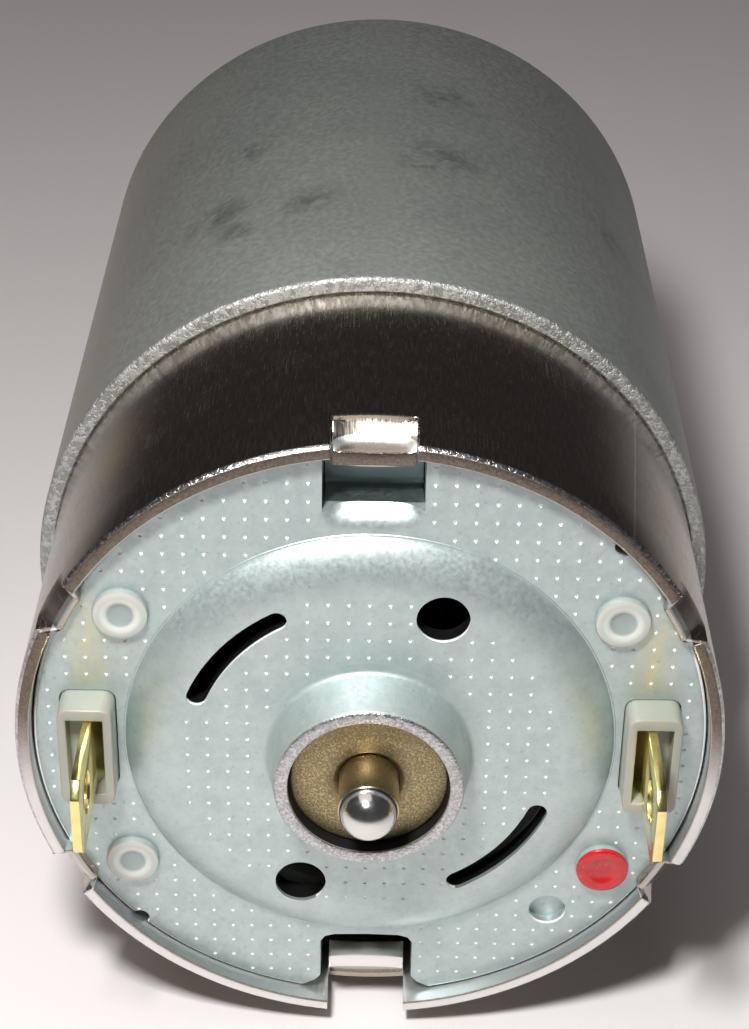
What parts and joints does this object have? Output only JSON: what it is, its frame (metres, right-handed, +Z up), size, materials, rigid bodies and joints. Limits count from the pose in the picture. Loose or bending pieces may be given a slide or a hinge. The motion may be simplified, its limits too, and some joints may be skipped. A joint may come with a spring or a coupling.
{
  "type": "brushed electric motor",
  "caption": "Brushed permanent-magnet motor in a round steel can with a flux ring, flat solder tabs and a vented end plate at the rear, and a round output shaft with a pilot boss.",
  "frame": {"origin": "on the shaft axis, in the plane of the front mounting face", "axes": "+Y along the output shaft, out of the mounting face; +X towards the right terminal seen from the rear; +Z up, towards the upper locking tab"},
  "size_m": [0.04, 0.0851, 0.04],
  "materials": {
    "zinc_steel_dark": "glossy zinc plating",
    "zinc_steel": "satin zinc plating",
    "zinc_steel_pale": "satin zinc plating, dimpled",
    "nylon": "milky, semi-gloss",
    "red_lacquer": "gloss",
    "brass": "bright",
    "carbon": "matt",
    "spring_steel": "satin",
    "sintered_bronze": "porous, oiled",
    "ferrite": "matt",
    "polished_steel": "ground and polished",
    "lamination_steel": "stacked sheet",
    "fibre": "matt",
    "copper_enamel": "enamelled wire",
    "copper": "turned",
    "phenolic": "matt",
    "varistor": "matt"
  },
  "bodies": {
    "stator": {"can": "zinc_steel_dark", "flux_ring": "zinc_steel", "end_plate": "zinc_steel_pale", "brush_card": "nylon", "polarity_mark": "red_lacquer", "terminal_left": "brass", "terminal_right": "brass", "brush_box_left": "brass", "brush_box_right": "brass", "brush_spring_left": "spring_steel", "brush_spring_right": "spring_steel", "rear_bearing": "sintered_bronze", "rear_bearing_clip": "spring_steel", "front_bearing": "sintered_bronze", "front_bearing_clip": "spring_steel", "magnet_left": "ferrite", "magnet_right": "ferrite", "magnet_spreader_top": "spring_steel", "magnet_spreader_bottom": "spring_steel"},
    "brush_left": {"carbon_brush_left": "carbon"},
    "brush_right": {"carbon_brush_right": "carbon"},
    "rotor": {"shaft": "polished_steel", "lamination_stack": "lamination_steel", "rear_fibre": "fibre", "front_fibre": "fibre", "windings": "copper_enamel", "commutator_hub": "phenolic", "commutator_bars": "copper", "varistor_ring": "varistor", "rear_thrust_washer": "fibre", "rear_spacer": "nylon", "front_thrust_washer": "fibre", "front_spacer": "nylon"}
  },
  "joints": [
    {"name": "rotor_spin", "type": "hinge", "parent": "stator", "child": "rotor", "pos_m": [0, 0, 0], "axis": [0, 1, 0], "continuous": true},
    {"name": "brush_slide_left", "type": "slide", "parent": "stator", "child": "brush_left", "axis": [-1, 0, 0], "range_m": [0, 0.0015], "stiffness_N_per_m": 300, "springref_m": -0.0015, "deforming": ["brush_spring_left"]},
    {"name": "brush_slide_right", "type": "slide", "parent": "stator", "child": "brush_right", "axis": [1, 0, 0], "range_m": [0, 0.0015], "stiffness_N_per_m": 300, "springref_m": -0.0015, "deforming": ["brush_spring_right"]}
  ]
}
